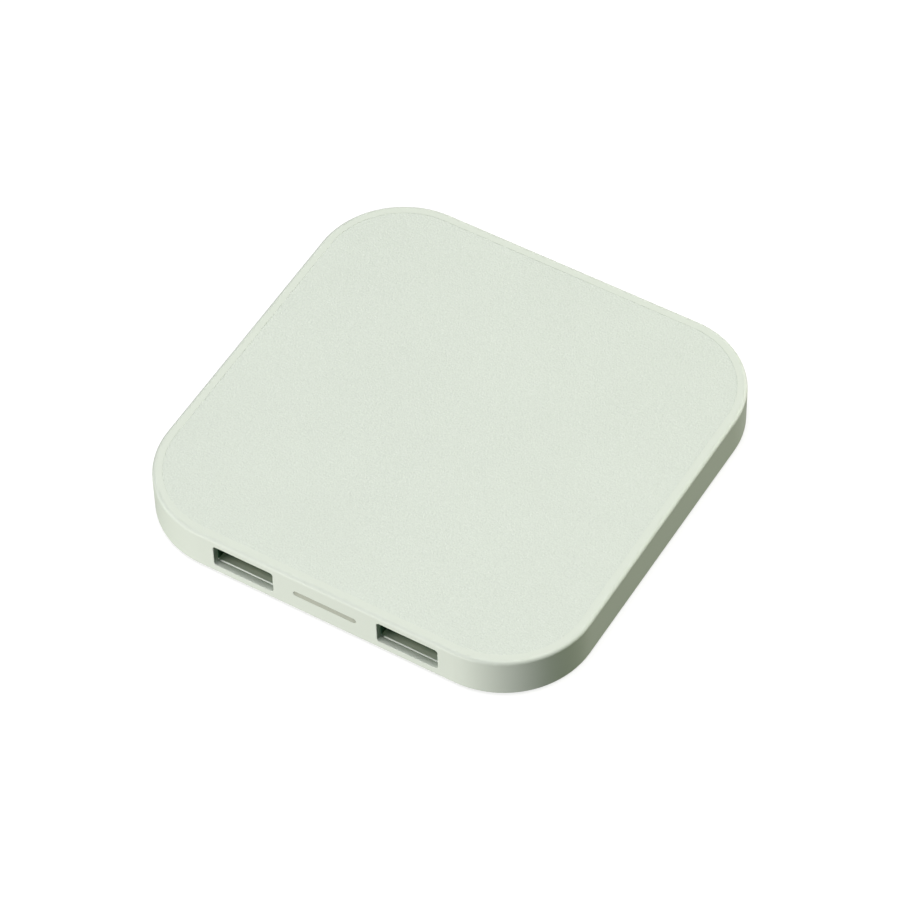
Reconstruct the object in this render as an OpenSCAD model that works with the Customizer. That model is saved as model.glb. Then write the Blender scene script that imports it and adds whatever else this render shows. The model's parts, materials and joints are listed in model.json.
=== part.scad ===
// Square wireless charging pad with two USB-A outlets, a status light bar and a USB-C inlet.
// Millimetres, +Z up. The origin is the centre of the pad on the surface that it stands on,
// and the USB-A outlets and the light bar are in the front wall, which faces -Y.

/* [Body] */
// Side length of the square body
pad_w = 90; // [86:1:110]
// Radius of the body's corners, seen from above
corner_r = 17.8; // [15:0.1:22]
// Height of the body without its feet
body_h = 9.0; // [9.0:0.1:12]
// Thickness of the side walls, which is also the width of the rim round the top plate
rim_w = 1.95; // [1.8:0.05:2.6]
// Rounding of the rim's outer edge
top_edge_r = 0.7; // [0.3:0.1:1.2]
// Rounding of the body's lower edge
bottom_edge_r = 0.4; // [0.2:0.1:0.8]
// Rounding of the edges of the openings and of the inner lower edges
fine_edge_r = 0.15; // [0.1:0.05:0.2]
// Rounding of the edges on both sides of the top seam
seam_edge_r = 0.02; // [0.02:0.01:0.1]

/* [Plates] */
// Thickness of the textured top plate
plate_t = 1.2; // [1.0:0.1:1.3]
// Gap between the top plate and the rim
seam_gap = 0.01; // [0.01:0.01:0.1]
// How far the top plate lies below the rim
plate_drop = 0.03; // [0:0.01:0.2]
// Thickness of the bottom cover
cover_t = 1.3; // [1.2:0.1:1.4]
// Gap between the bottom cover and the side walls
cover_gap = 0.1; // [0.05:0.05:0.2]
// How far the bottom cover lies above the body's lower edge
cover_drop = 0.1; // [0:0.05:0.2]

/* [Feet] */
// Diameter of each silicone foot
foot_d = 10; // [8:0.5:10.5]
// How far the feet stand out below the body
foot_proud = 0.5; // [0.4:0.1:1.0]
// Depth of the pocket that each foot is glued into
foot_pocket = 0.5; // [0.3:0.1:0.6]

/* [Front wall] */
// Distance of each USB-A outlet from the middle of the front wall
port_x = 17.4; // [17:0.1:19]
// Width of each USB-A opening
port_w = 12.7; // [12.5:0.1:13]
// Height of each USB-A opening
port_h = 5.2; // [5.1:0.1:5.4]
// Length of the light bar's slot
bar_w = 13.2; // [10:0.1:15]
// Height of the light bar's slot
bar_h = 1.15; // [0.8:0.05:1.6]

/* [Charging coil] */
// Inner radius of the winding
coil_in_r = 10.4; // [9:0.1:11]
// Number of turns
coil_turns = 10; // [8:1:10]
// Distance from one turn to the next
coil_pitch = 1.17; // [1.1:0.01:1.2]
// Thickness of the litz wire
wire_d = 1.1; // [0.9:0.05:1.1]

/* [Hidden] */

$fn = 96;
eps = 0.01;                                  // overlap that joins two solids of one piece
touch = 0.02;                                // gap between pieces that rest on each other
cut = 1;                                     // how far a cut runs past the solid that it opens
sink = 0.2;                                  // how deep a seat, rib or finger starts in its base
half = pad_w / 2;
core = half - corner_r;                      // the corner arcs' centres lie at (+-core, +-core)
wall_in = half - rim_w;                      // inner face of the side walls

// Heights, from the surface that the pad stands on
body_z0 = foot_proud;
body_z1 = body_z0 + body_h;
plate_z1 = body_z1 - plate_drop;
plate_z0 = plate_z1 - plate_t;
tape_t = 0.1;
tape_gap = 0.2;                              // from the edges of the ledge to the tape
tape_break = 14;                             // width of the tape's gap over each outlet
ledge_w = 2;
ledge_t = 1.1;
ledge_z1 = plate_z0 - tape_t;
boss_drop = 0.3;
boss_z1 = ledge_z1 - boss_drop;              // the bosses and ribs stop short of the tape
cover_z0 = body_z0 + cover_drop;
cover_z1 = cover_z0 + cover_t;
board_t = 1;
board_lift = 1;
board_z0 = cover_z1 + board_lift;
board_z1 = board_z0 + board_t;
part_z0 = board_z1 + touch;                  // what is soldered to the board stands here
port_z = body_z0 + body_h / 2;

// Screws that hold the bottom cover, one in each corner, hidden under the feet
boss_shift = 6.8;                            // from the corner arc's centre, along X and along Y
corner_pos = core + boss_shift;
boss_r = 3;
seat_r = 4.2;
seat_h = 0.8;
seat_z1 = cover_z1 + seat_h;                 // where the frame's bosses meet the cover
head_depth = 1;                              // from a foot's pocket to the screw head's seat
head_z = cover_z0 + foot_pocket + head_depth;
screw_r = 0.95;
pilot_r = 1;
screw_hole_r = 1.15;
screw_recess = [2.2, 0.4, 0.45];             // length, width and depth of the cross recess
head_r = 1.9;
head_h = 0.85;
head_gap = 0.2;
cover_screw_l = 5.2;
pilot_spare = 0.2;                           // depth of the pilot holes past the screws' tips
rib_t = 1.4;
foot_edge_r = 0.3;
foot_gap = 0.05;

// Screws that hold the circuit board, each with the direction of its rib to the wall
board_screw_spots = [[-38.7, -18, 180], [38.7, -18, 0], [-12.5, 38.9, 90], [12.5, 38.9, 90]];
board_boss_r = 2.4;
board_rib_l = 5;
board_screw_l = 3.6;
board_head_h = 0.8;

// Posts under the ferrite and stiffening ribs, both on the bottom cover
post_x = 15;
post_y = [-9, 13];
post_r = 2.2;
floor_rib_x = 26;
floor_rib_y = [8, 30];
floor_rib_t = 1.2;
floor_rib_h = 0.8;

// USB-A receptacles: shell sizes, and the depth of wall in front of them
port_r = 0.6;                                // corners of the opening in the wall
usb_w = 12.5;
usb_h = 5.12;
usb_t = 0.3;
usb_l = 14;
usb_skin = 1.25;
usb_out_r = 0.6;
usb_in_r = 0.3;
usb_bevel = 0.17;                            // on the inner edge of the shell's mouth
usb_lip = 0.3;                               // how much of the shell's lower edge shows
usb_y0 = -half + usb_skin;
usb_z = port_z - port_h / 2 + usb_lip + usb_h / 2;
usb_clear = 0.1;
usb_tongue_w = 11.1;
usb_tongue_t = 1.84;
usb_tongue_y = usb_y0 + 1.1;
usb_tip_l = 0.8;                             // slope under the tongue's tip: length and height
usb_tip_h = 0.7;
usb_tip_edge = 0.3;                          // bevel on top of the tip
usb_block_y = usb_y0 + 12.2;
usb_block_gap = 0.08;
usb_block_in = 0.5;                          // how far the tongue runs into its block
usb_pins = [-3.5, -1, 1, 3.5];
usb_pin_w = 1;
usb_pin_t = 0.2;
usb_groove_w = 1.12;
usb_groove_y = usb_tongue_y + 1;
usb_groove_z = [-0.1, 0.3];                   // from the tongue's lower face
usb_contact_tip = [[1.2, 0.15], [2.6, -0.3], [3.3, -0.3], [5, 0.12]];  // y, z from the tongue's tip
usb_contact_tail = [[0.4, 0.12], [0.7, -0.1]];  // y, z from the shell's rear end
usb_contact_foot = [0.8, 1, 1.9];            // y of the drop, the bend and the end of the foot
usb_contact_bend = 0.2;
usb_window_x = 3.2;                          // the spring fingers' windows lie this far off centre
usb_window_w = 2;
usb_window_y = [usb_y0 + 3.2, usb_y0 + 8.4];
usb_spring_w = 1.2;
usb_spring_t = 0.24;
usb_spring_l = 4.8;
usb_spring_lean = 3.5;
usb_leg_y = [usb_y0 + 4.2, usb_y0 + 10.2];
usb_leg_out = 1.35;                          // from the shell's side to its legs
leg_l = 1.6;
leg_drop = 1.9;
tab_w = 1.7;                                 // tabs that join the legs to the shells
tab_gap = 0.03;                              // from the board's parts plane to the tabs

// Light bar: its front face in the slot, a flange behind the wall and a light guide to the LEDs
bar_z = port_z;
bar_end_flat = 0.1;                          // what is left straight at the ends of the slot
bar_r = (bar_h - bar_end_flat) / 2;
bar_gap = 0.02;
bar_drop = 0.05;                             // how far the bar lies behind the wall's face
bar_flange = [14.8, 0.7, 1.9];
bar_guide_w = 12.4;
bar_guide_l = 3.4;
bar_guide_h = 1.5;
led_size = [3, 1, 1];
led_x = 3;
led_gap = 0.1;
led_y = -wall_in + bar_guide_l + led_gap;

// USB-C receptacle in the rear wall
usbc_open_w = 9.2;
usbc_open_h = 3.4;
usbc_open_r = 1.6;
usbc_w = 8.34;
usbc_h = 2.56;
usbc_t = 0.3;
usbc_l = 7.4;
usbc_skin = 0.5;
usbc_y1 = half - usbc_skin;
usbc_y0 = usbc_y1 - usbc_l;
usbc_pins = 12;
usbc_pitch = 0.5;
usbc_pin_w = 0.24;
usbc_pin_t = 0.08;
usbc_tongue_w = 6.7;
usbc_tongue_t = 0.7;
usbc_tongue_y = [usbc_y0 + 1.2, usbc_y1 - 0.6];
usbc_base_y = [usbc_y0 + 0.1, usbc_y0 + 1.5];
usbc_base_gap = 0.05;
usbc_groove = [6.4, 2.2, 0.16];
usbc_groove_at = [usbc_y0 + 0.7, 0.41];      // y, and z above and below the middle
usbc_contact_y1 = usbc_y1 - 1.1;
usbc_contact_z = 0.4;
usbc_contact_drop = [-0.3, -0.75];           // y of the lower and upper row's drop, from the rear end
usbc_contact_foot = 0.35;
usbc_contact_bend = 0.1;
usbc_leg_x = 5.6;
usbc_leg_y = [usbc_y0 + 1.1, usbc_y0 + 4.4];
usbc_leg_l = 1.1;
usbc_leg_drop = 1.6;

// Charging coil and its ferrite
coil_gap = 0.15;
coil_z1 = plate_z0 - coil_gap;
coil_z0 = coil_z1 - wire_d;
coil_out_r = coil_in_r + coil_turns * coil_pitch + wire_d;
ferrite_t = 1;
ferrite_r = 24;
ferrite_z1 = coil_z0 - touch;
ferrite_z0 = ferrite_z1 - ferrite_t;
lead_slot_w = 5.2;
lead_slot_y = -2;                            // inner end of the slot for the leads
coil_tape_gap = 0.8;                         // how far the coil's tape runs past the winding
bead_r = 0.7;
foam_pads = [[-11, -17.75, 8, 4.5], [11, -17.75, 8, 4.5], [0, 13, 12, 10]];  // x, y, width, length

// Circuit board: a front bar, a neck under the coil and a rear tab, inside the body's outline
board_inset = rim_w + 0.6;
board_front_y = -14;
board_neck_w = 18;
board_rear_w = 32;
board_rear_y = 34;
board_gap = 0.5;                             // round the bosses and ribs that pass the board
slot_gap = 0.15;                             // round the receptacles' shells
leg_slot_gap = 0.23;                         // round the receptacles' legs

// Parts on the board: where each one's centre lies, and its size
controller_at = [-28, -22.5];
controller_size = [6, 6, 0.9];
dot_inset = 0.8;                             // moulded mark at the first leg
dot_r = 0.35;
dot_depth = 0.1;
switch_at = [0, -33.25];
switch_size = [4.9, 3.8, 1.3];
switch_stand = 0.15;
switch_leg = [[1.7, 0.72], [2.35, 0.72], [2.55, 0.12], [3.1, 0.1]];  // y, z along a leg
switch_legs = [-1.905:1.27:1.905];
switch_leg_w = 0.4;
switch_leg_t = 0.2;
inductor_at = [34.3, -23.6];
inductor_size = [4, 4, 2];
inductor_bevel = 2.5;                        // from its middle to its bevelled corners
inductor_stand = 0.15;
bridge_x = [-6.5, -2.6, 2.6, 6.5];
bridge_y = -22.5;
bridge_size = [3, 3, 0.8];
resonant_x = [-7.6, -5.4, 5.4, 7.6];
resonant_y = -27.6;
resonant_size = [1.6, 3.2, 1.5];
bulk_at = [[-32, -29.5], [32, -29.5], [0, 28.5], [0, 31.8]];
bulk_size = [3.2, 2.5, 1.8];
cap_size = [0.8, 1.6, 0.8];
cap_spots = concat([for (x = [-36:2.6:-25]) [x, -16, 0]], [for (x = [26:2.6:34]) [x, -17.5, 0]],
    [for (y = [22:2:26]) [-4, y, 90]]);      // x, y, turn
resistor_size = [0.8, 1.6, 0.45];
resistor_spots = concat([for (x = [-23.4:1.6:-13]) [x, -26.6, 0]], [for (x = [24:2:30]) [x, -23, 0]],
    [for (y = [22:2:28]) [4, y, 90]], [for (x = [-5.5, 5.5]) [x, -36.4, 90]]);

mint = [0.83, 0.89, 0.81];
plate_mint = [0.80, 0.87, 0.78];
steel = [0.75, 0.76, 0.77];
shell_green = [0.38, 0.54, 0.45];
gold = [0.86, 0.70, 0.36];
copper = [0.76, 0.44, 0.24];
black = [0.10, 0.10, 0.11];
dark_green = [0.08, 0.20, 0.14];

// ---------- shared shapes ----------

// Rectangle with round corners, about its centre
module round_rect(w, h, r) {
    square([w - 2 * r, h], center = true);
    square([w, h - 2 * r], center = true);
    for (x = [-1, 1], y = [-1, 1])
        translate([x * (w / 2 - r), y * (h / 2 - r)]) circle(r);
}

// Slot with fully round ends, about its centre
module stadium(w, h) {
    square([w - h, h], center = true);
    for (x = [-1, 1]) translate([x * (w - h) / 2, 0]) circle(h / 2);
}

// Stands a 2D shape upright, facing -Y, and extrudes it from y0 to y1 with its centre at (x, z)
module along_y(x, z, y0, y1) {
    translate([x, y1, z]) rotate([90, 0, 0]) linear_extrude(y1 - y0) children();
}

// Extrudes a profile drawn in (y, z) along X, centred on x
module along_x(x, w) {
    translate([x - w / 2, 0, 0]) rotate([90, 0, 90]) linear_extrude(w) children();
}

// Sweeps a profile round a rectangle whose corner arcs' centres lie at (+-cx, +-cy).
// The profile's x is the distance from those centres.
module swept_loop(cx, cy) {
    for (q = [0:3]) rotate(90 * q) {
        x = q % 2 == 0 ? cx : cy;
        y = q % 2 == 0 ? cy : cx;
        translate([x, y, 0]) rotate_extrude(angle = 90) children();
        translate([x, y, 0]) rotate([90, 0, 0]) linear_extrude(2 * y) children();
    }
}

// What is cut off a profile's corner at (x, z) to round it. A turn of 0 is the corner at the
// top right, 90 the one at the top left, 180 the bottom left and 270 the bottom right.
module nick(x, z, turn, r) {
    translate([x, z]) rotate(turn) translate([-r, -r]) difference() {
        square(r + eps);
        circle(r);
    }
}

// Flat rounded square whose sides lie inset inside the body's outline
module slab(inset, z0, z1) {
    translate([0, 0, z0]) linear_extrude(z1 - z0)
        round_rect(pad_w - 2 * inset, pad_w - 2 * inset, corner_r - inset);
}

// The same with its upper edge rounded by r1 and its lower edge by r0
module soft_slab(inset, z0, z1, r0, r1) {
    difference() {
        slab(inset, z0, z1);
        swept_loop(core, core) {
            nick(corner_r - inset, z1, 0, r1);
            nick(corner_r - inset, z0, 270, r0);
        }
    }
}

// Opening through a wall that faces -Y at y = -half, with its outer edge rounded
module wall_opening(x, z, w, h, r) {
    along_y(x, z, -half - cut, -wall_in + cut) round_rect(w, h, r);
    translate([x, -half, z]) rotate([90, 0, 0])
        swept_loop(w / 2 - r, h / 2 - r) nick(r, 0, 90, fine_edge_r);
}

module box(x0, x1, y0, y1, z0, z1) {
    translate([x0, y0, z0]) cube([x1 - x0, y1 - y0, z1 - z0]);
}

module rod(x, y, z0, z1, r) {
    translate([x, y, z0]) cylinder(h = z1 - z0, r = r);
}

module at_corners() {
    for (x = [-1, 1], y = [-1, 1]) translate([x * corner_pos, y * corner_pos, 0]) children();
}

// Outline of a bent strip of thickness t whose middle runs through the points
function unit(v) = v / norm(v);
function bend_normal(p, i) =
    let (a = unit(p[min(i + 1, len(p) - 1)] - p[max(i - 1, 0)])) [-a[1], a[0]];
function strip(p, t) = concat(
    [for (i = [0:len(p) - 1]) p[i] + bend_normal(p, i) * t / 2],
    [for (i = [len(p) - 1:-1:0]) p[i] - bend_normal(p, i) * t / 2]);

// Round wire of radius r through the points, with the given number of sides
function flow(p, i) = unit(p[min(i + 1, len(p) - 1)] - p[max(i - 1, 0)]);
function across(d) = unit(cross(d, abs(d[2]) > 0.9 ? [1, 0, 0] : [0, 0, 1]));
module wire(p, r, sides = 8) {
    n = len(p);
    rings = [for (i = [0:n - 1]) let (d = flow(p, i), u = across(d), v = cross(d, u))
        for (k = [0:sides - 1]) p[i] + r * (u * cos(360 * k / sides) + v * sin(360 * k / sides))];
    walls = [for (i = [0:n - 2], k = [0:sides - 1]) let (k2 = (k + 1) % sides)
        each [[i * sides + k, (i + 1) * sides + k2, i * sides + k2],
            [i * sides + k, (i + 1) * sides + k, (i + 1) * sides + k2]]];
    ends = [[for (k = [0:sides - 1]) k], [for (k = [sides - 1:-1:0]) (n - 1) * sides + k]];
    polyhedron(points = rings, faces = concat(walls, ends));
}

// ---------- casing ----------

module wall_profile() {
    difference() {
        translate([corner_r - rim_w, body_z0]) square([rim_w, body_h]);
        nick(corner_r, body_z1, 0, top_edge_r);
        nick(corner_r - rim_w, body_z1, 90, seam_edge_r);
        nick(corner_r - rim_w, body_z0, 180, fine_edge_r);
        nick(corner_r, body_z0, 270, bottom_edge_r);
    }
    translate([corner_r - rim_w - ledge_w, ledge_z1 - ledge_t]) square([ledge_w + rim_w / 2, ledge_t]);
}

module corner_bosses() {
    for (q = [0:3]) rotate(90 * q) {
        rod(corner_pos, corner_pos, seat_z1, boss_z1, boss_r);
        translate([corner_pos, corner_pos, seat_z1]) rotate(45)
            translate([0, -rib_t / 2, 0])
                cube([corner_r - rim_w / 2 - boss_shift * sqrt(2), rib_t, boss_z1 - seat_z1]);
    }
}

module board_bosses() {
    for (s = board_screw_spots) translate([s[0], s[1], board_z1]) {
        cylinder(h = boss_z1 - board_z1, r = board_boss_r);
        rotate(s[2]) translate([0, -rib_t / 2, 0]) cube([board_rib_l, rib_t, boss_z1 - board_z1]);
    }
}

module front_wall_cuts() {
    for (x = [-port_x, port_x]) {
        wall_opening(x, port_z, port_w, port_h, port_r);
        box(x - usb_w / 2 - usb_t - usb_clear, x + usb_w / 2 + usb_t + usb_clear,
            usb_y0 - touch, -wall_in + ledge_w + cut,
            usb_z - usb_h / 2 - usb_t - usb_clear, ledge_z1 + eps);
    }
    wall_opening(0, bar_z, bar_w, bar_h, bar_r);
}

module housing_frame() {
    color(mint) difference() {
        union() {
            swept_loop(core, core) wall_profile();
            corner_bosses();
            board_bosses();
        }
        front_wall_cuts();
        rotate(180) wall_opening(0, port_z, usbc_open_w, usbc_open_h, usbc_open_r);
        at_corners() rod(0, 0, seat_z1 - eps, head_z + cover_screw_l + pilot_spare, pilot_r);
        for (s = board_screw_spots)
            rod(s[0], s[1], board_z1 - eps, board_z0 + board_screw_l + pilot_spare, pilot_r);
    }
}

module top_plate() {
    color(plate_mint)
        soft_slab(rim_w + seam_gap, plate_z0, plate_z1, fine_edge_r, seam_edge_r);
}

module plate_adhesive() {
    color([0.92, 0.92, 0.88]) difference() {
        slab(rim_w + tape_gap, ledge_z1, plate_z0);
        slab(rim_w + ledge_w - tape_gap, ledge_z1 - cut, plate_z0 + cut);
        for (x = [-port_x, port_x])
            box(x - tape_break / 2, x + tape_break / 2, -half, -wall_in + ledge_w + cut,
                ledge_z1 - cut, plate_z0 + cut);
    }
}

// Three ribs that stiffen the rear half of the bottom cover
module floor_ribs() {
    for (x = [-floor_rib_x, floor_rib_x])
        translate([x - floor_rib_t / 2, floor_rib_y[0]])
            square([floor_rib_t, floor_rib_y[1] - floor_rib_y[0]]);
    translate([-floor_rib_x, floor_rib_y[1] - eps]) square([2 * floor_rib_x, floor_rib_t]);
}

module bottom_cover() {
    color(mint) difference() {
        union() {
            soft_slab(rim_w + cover_gap, cover_z0, cover_z1, fine_edge_r, fine_edge_r);
            at_corners() rod(0, 0, cover_z1 - sink, seat_z1, seat_r);
            for (x = [-post_x, post_x], y = post_y)
                rod(x, y, cover_z1 - sink, ferrite_z0 - touch, post_r);
            translate([0, 0, cover_z1 - sink]) linear_extrude(floor_rib_h + sink)
                floor_ribs();
        }
        at_corners() {
            rod(0, 0, cover_z0 - eps, cover_z0 + foot_pocket, foot_d / 2 + foot_gap);
            rod(0, 0, cover_z0, head_z, head_r + head_gap);
            rod(0, 0, cover_z0, seat_z1 + cut, screw_hole_r);
        }
    }
}

// Pan-head screw whose head lies below its seat at z = 0 and whose shank runs up
module screw(length, head_height) {
    difference() {
        union() {
            rod(0, 0, -head_height, 0, head_r);
            rod(0, 0, -eps, length, screw_r);
        }
        for (a = [0, 90]) rotate(a)
            translate([-screw_recess[0] / 2, -screw_recess[1] / 2, -head_height - eps])
                cube(screw_recess);
    }
}

module cover_screws() {
    color(steel) at_corners() translate([0, 0, head_z]) screw(cover_screw_l, head_h);
}

module foot(x, y) {
    color([0.86, 0.88, 0.85]) translate([x * corner_pos, y * corner_pos, 0])
        rotate_extrude() difference() {
            square([foot_d / 2, cover_z0 + foot_pocket]);
            nick(foot_d / 2, 0, 270, foot_edge_r);
        }
}

// ---------- light bar ----------

module light_bar() {
    color([0.66, 0.68, 0.62]) {
        along_y(0, bar_z, -half + bar_drop, -wall_in + touch + eps)
            round_rect(bar_w - 2 * bar_gap, bar_h - 2 * bar_gap, bar_r - bar_gap);
        translate([-bar_flange[0] / 2, -wall_in + touch, bar_z - bar_flange[2] / 2])
            cube(bar_flange);
        box(-bar_guide_w / 2, bar_guide_w / 2, -wall_in + touch + bar_flange[1] - eps,
            -wall_in + bar_guide_l, bar_z - bar_flange[2] / 2 + eps,
            bar_z - bar_flange[2] / 2 + eps + bar_guide_h);
    }
}

module status_led(x) {
    color([0.95, 0.95, 0.90]) translate([x - led_size[0] / 2, led_y, part_z0]) cube(led_size);
}

// ---------- charging coil ----------

// Flat spiral whose two ends both lie on the -Y side
spiral_steps = 40;
function spiral_point(i, side) = let (a = -90 + 360 * i / spiral_steps,
    r = coil_in_r + wire_d / 2 + coil_pitch * i / spiral_steps + side * wire_d / 2)
    [r * cos(a), r * sin(a)];
module charging_coil() {
    n = spiral_steps * coil_turns;
    color(copper) translate([0, 0, coil_z0]) linear_extrude(wire_d)
        polygon(concat([for (i = [0:n]) spiral_point(i, -1)], [for (i = [n:-1:0]) spiral_point(i, 1)]));
}

coil_end_y = -coil_in_r - wire_d / 2 - coil_turns * coil_pitch;
inner_lead = [[-0.4, -coil_in_r - 0.6, ferrite_z1 - 0.5], [-0.9, -14, ferrite_z1 - 0.5],
    [-1.2, -18, ferrite_z1 - 0.5], [-1.4, -22, ferrite_z1 - 0.5], [-1.6, -25, ferrite_z1 - 0.6],
    [-1.9, -26.5, board_z1 + 1.6], [-2.1, -27.3, board_z1 + 0.9], [-2.2, -27.6, board_z1 + 0.3]];
outer_lead = [[0.3, coil_end_y, coil_z0 + wire_d / 2], [1, coil_end_y - 0.3, coil_z0 + wire_d / 2],
    [1.6, coil_end_y - 1.2, coil_z0 + 0.2], [1.8, coil_end_y - 2.4, ferrite_z1 - 0.9],
    [2, coil_end_y - 3.4, board_z1 + 1.6], [2.2, coil_end_y - 4.2, board_z1 + 0.8],
    [2.2, coil_end_y - 4.5, board_z1 + 0.32]];

lead_r = 0.42;
module coil_leads() {
    color(copper) {
        wire(inner_lead, lead_r);
        wire(outer_lead, lead_r);
    }
}

module coil_adhesive() {
    color([0.90, 0.88, 0.80]) difference() {
        rod(0, 0, coil_z1 + touch, plate_z0, coil_out_r + coil_tape_gap);
        rod(0, 0, coil_z1 - cut, plate_z0 + cut, coil_in_r - coil_tape_gap);
    }
}

module ferrite_disc() {
    color([0.22, 0.22, 0.23]) difference() {
        rod(0, 0, ferrite_z0, ferrite_z1, ferrite_r);
        box(-lead_slot_w / 2, lead_slot_w / 2, -ferrite_r - cut, lead_slot_y,
            ferrite_z0 - cut, ferrite_z1 + cut);
    }
}

module foam_spacers() {
    color([0.30, 0.30, 0.32]) for (p = foam_pads)
        box(p[0] - p[2] / 2, p[0] + p[2] / 2, p[1] - p[3] / 2, p[1] + p[3] / 2,
            part_z0, ferrite_z0 - touch);
}

sensor_at = [0.2, -4.4, coil_z0 + 0.5];
sensor_collar = [1.1, 0.8, 0.7];
sensor_collar_at = [0.2, -5.2, ferrite_z1 - 0.25];
sensor_lead_r = 0.12;
sensor_lead_x = 0.25;                        // half the distance between the two leads
sensor_lead = [[0.5, -5.4, ferrite_z1 - 0.2], [0.6, -9, ferrite_z1 - 0.6], [0.7, -14, ferrite_z1 - 0.7],
    [0.8, -20, ferrite_z1 - 0.7], [0.8, -24, ferrite_z1 - 0.9], [0.6, -26, board_z1 + 1.4],
    [0.5, -27, board_z1 + 0.6], [0.5, -27.4, board_z1 + 0.05]];
module temperature_sensor() {
    color([0.12, 0.12, 0.12]) {
        translate(sensor_at) sphere(bead_r);
        for (dx = [-sensor_lead_x, sensor_lead_x])
            wire([for (p = sensor_lead) p + [dx, 0, 0]], sensor_lead_r, 6);
        translate(sensor_collar_at) cube(sensor_collar, center = true);
    }
}

// ---------- circuit board ----------

module board_outline() {
    w = pad_w - 2 * board_inset;
    intersection() {
        round_rect(w, w, corner_r - board_inset);
        union() {
            translate([-half, -half]) square([pad_w, half + board_front_y]);
            translate([-board_neck_w / 2, board_front_y - cut]) square([board_neck_w, pad_w]);
            translate([-board_rear_w / 2, board_rear_y]) square([board_rear_w, half]);
        }
    }
}

// Slot through the board for a receptacle's leg
module leg_slot(x, y, length) {
    translate([x, y, board_z0 + board_t / 2])
        cube([2 * leg_slot_gap + usb_t, length + 2 * leg_slot_gap, board_t + cut], center = true);
}

module circuit_board() {
    color([0.10, 0.38, 0.20]) difference() {
        translate([0, 0, board_z0]) linear_extrude(board_t) board_outline();
        for (q = [2, 3]) rotate(90 * q) {
            rod(corner_pos, corner_pos, board_z0 - cut, board_z1 + cut, boss_r + board_gap);
            translate([corner_pos, corner_pos, board_z0 - cut]) rotate(45)
                translate([0, -rib_t / 2 - board_gap, 0])
                    cube([corner_r, rib_t + 2 * board_gap, board_t + 2 * cut]);
        }
        for (x = [-port_x, port_x]) {
            box(x - usb_w / 2 - usb_t - slot_gap, x + usb_w / 2 + usb_t + slot_gap,
                -half, usb_y0 + usb_l + slot_gap, board_z0 - cut, board_z1 + cut);
            for (side = [-1, 1], y = usb_leg_y)
                leg_slot(x + side * (usb_w / 2 + usb_t + usb_leg_out), y, leg_l);
        }
        box(-usbc_w / 2 - usbc_t - slot_gap, usbc_w / 2 + usbc_t + slot_gap,
            usbc_y0 - slot_gap, half, board_z0 - cut, board_z1 + cut);
        for (side = [-1, 1], y = usbc_leg_y) leg_slot(side * usbc_leg_x, y, usbc_leg_l);
        for (s = board_screw_spots)
            rod(s[0], s[1], board_z0 - cut, board_z1 + cut, screw_hole_r);
    }
}

module board_screws() {
    color(steel) for (s = board_screw_spots)
        translate([s[0], s[1], board_z0]) screw(board_screw_l, board_head_h);
}

// Small chip part of size s = [x, y, z] lying on the board with its centre at p
module chip_part(p, s, turn = 0) {
    translate([p[0], p[1], part_z0]) rotate(turn) translate([-s[0] / 2, -s[1] / 2, 0]) cube(s);
}

module controller_chip() {
    color(black) difference() {
        chip_part(controller_at, controller_size);
        rod(controller_at[0] - controller_size[0] / 2 + dot_inset,
            controller_at[1] + controller_size[1] / 2 - dot_inset,
            part_z0 + controller_size[2] - dot_depth, part_z0 + controller_size[2] + cut, dot_r);
    }
}

// Eight-leg package: a body with four bent legs on each side
module usb_power_switch() {
    color(black) translate([switch_at[0], switch_at[1], part_z0]) {
        translate([-switch_size[0] / 2, -switch_size[1] / 2, switch_stand]) cube(switch_size);
        for (x = switch_legs, side = [0, 1]) mirror([0, side, 0])
            along_x(x, switch_leg_w) polygon(strip(switch_leg, switch_leg_t));
    }
}

// Shielded inductor: a square core with its corners cut off, on two end plates
module power_inductor() {
    w = inductor_size[0];
    h = inductor_size[2];
    color([0.25, 0.25, 0.26]) difference() {
        chip_part(inductor_at, inductor_size);
        translate([inductor_at[0], inductor_at[1], part_z0]) {
            for (a = [45:90:315]) rotate(a) box(inductor_bevel, w, -w / 2, w / 2, -cut, h + cut);
            box(-w / 4, w / 4, -w, w, -cut, inductor_stand);
        }
    }
}

module bridge_transistors() {
    color(black) for (x = bridge_x) chip_part([x, bridge_y], bridge_size);
}

module resonant_capacitors() {
    color([0.55, 0.42, 0.30]) for (x = resonant_x) chip_part([x, resonant_y], resonant_size);
}

module bulk_capacitors() {
    color([0.50, 0.38, 0.28]) for (p = bulk_at) chip_part(p, bulk_size);
}

module chip_capacitors() {
    color([0.58, 0.46, 0.34]) for (s = cap_spots) chip_part(s, cap_size, s[2]);
}

module chip_resistors() {
    color([0.16, 0.16, 0.18]) for (s = resistor_spots) chip_part(s, resistor_size, s[2]);
}

// ---------- USB-A outlets ----------

// Spring finger, bent into the shell from the middle of a window in its top (side 1) or bottom (side -1)
module usb_spring(x, side) {
    translate([x, usb_window_y[1], usb_z + side * (usb_h / 2 + usb_t / 2)])
        rotate([side * usb_spring_lean, 0, 0])
            translate([-usb_spring_w / 2, sink - usb_spring_l, -usb_spring_t / 2])
                cube([usb_spring_w, usb_spring_l, usb_spring_t]);
}

// Leg of a receptacle's shell: a tab from the side of the shell, bent down through the board
module shell_leg(x, y, side, length, drop) {
    top = part_z0 + tab_gap + usb_t;
    translate([x - side * (tab_w - usb_t) / 2, y, top - usb_t / 2])
        cube([tab_w, length, usb_t], center = true);
    translate([x, y, top - drop / 2]) cube([usb_t, length, drop], center = true);
}

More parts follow.
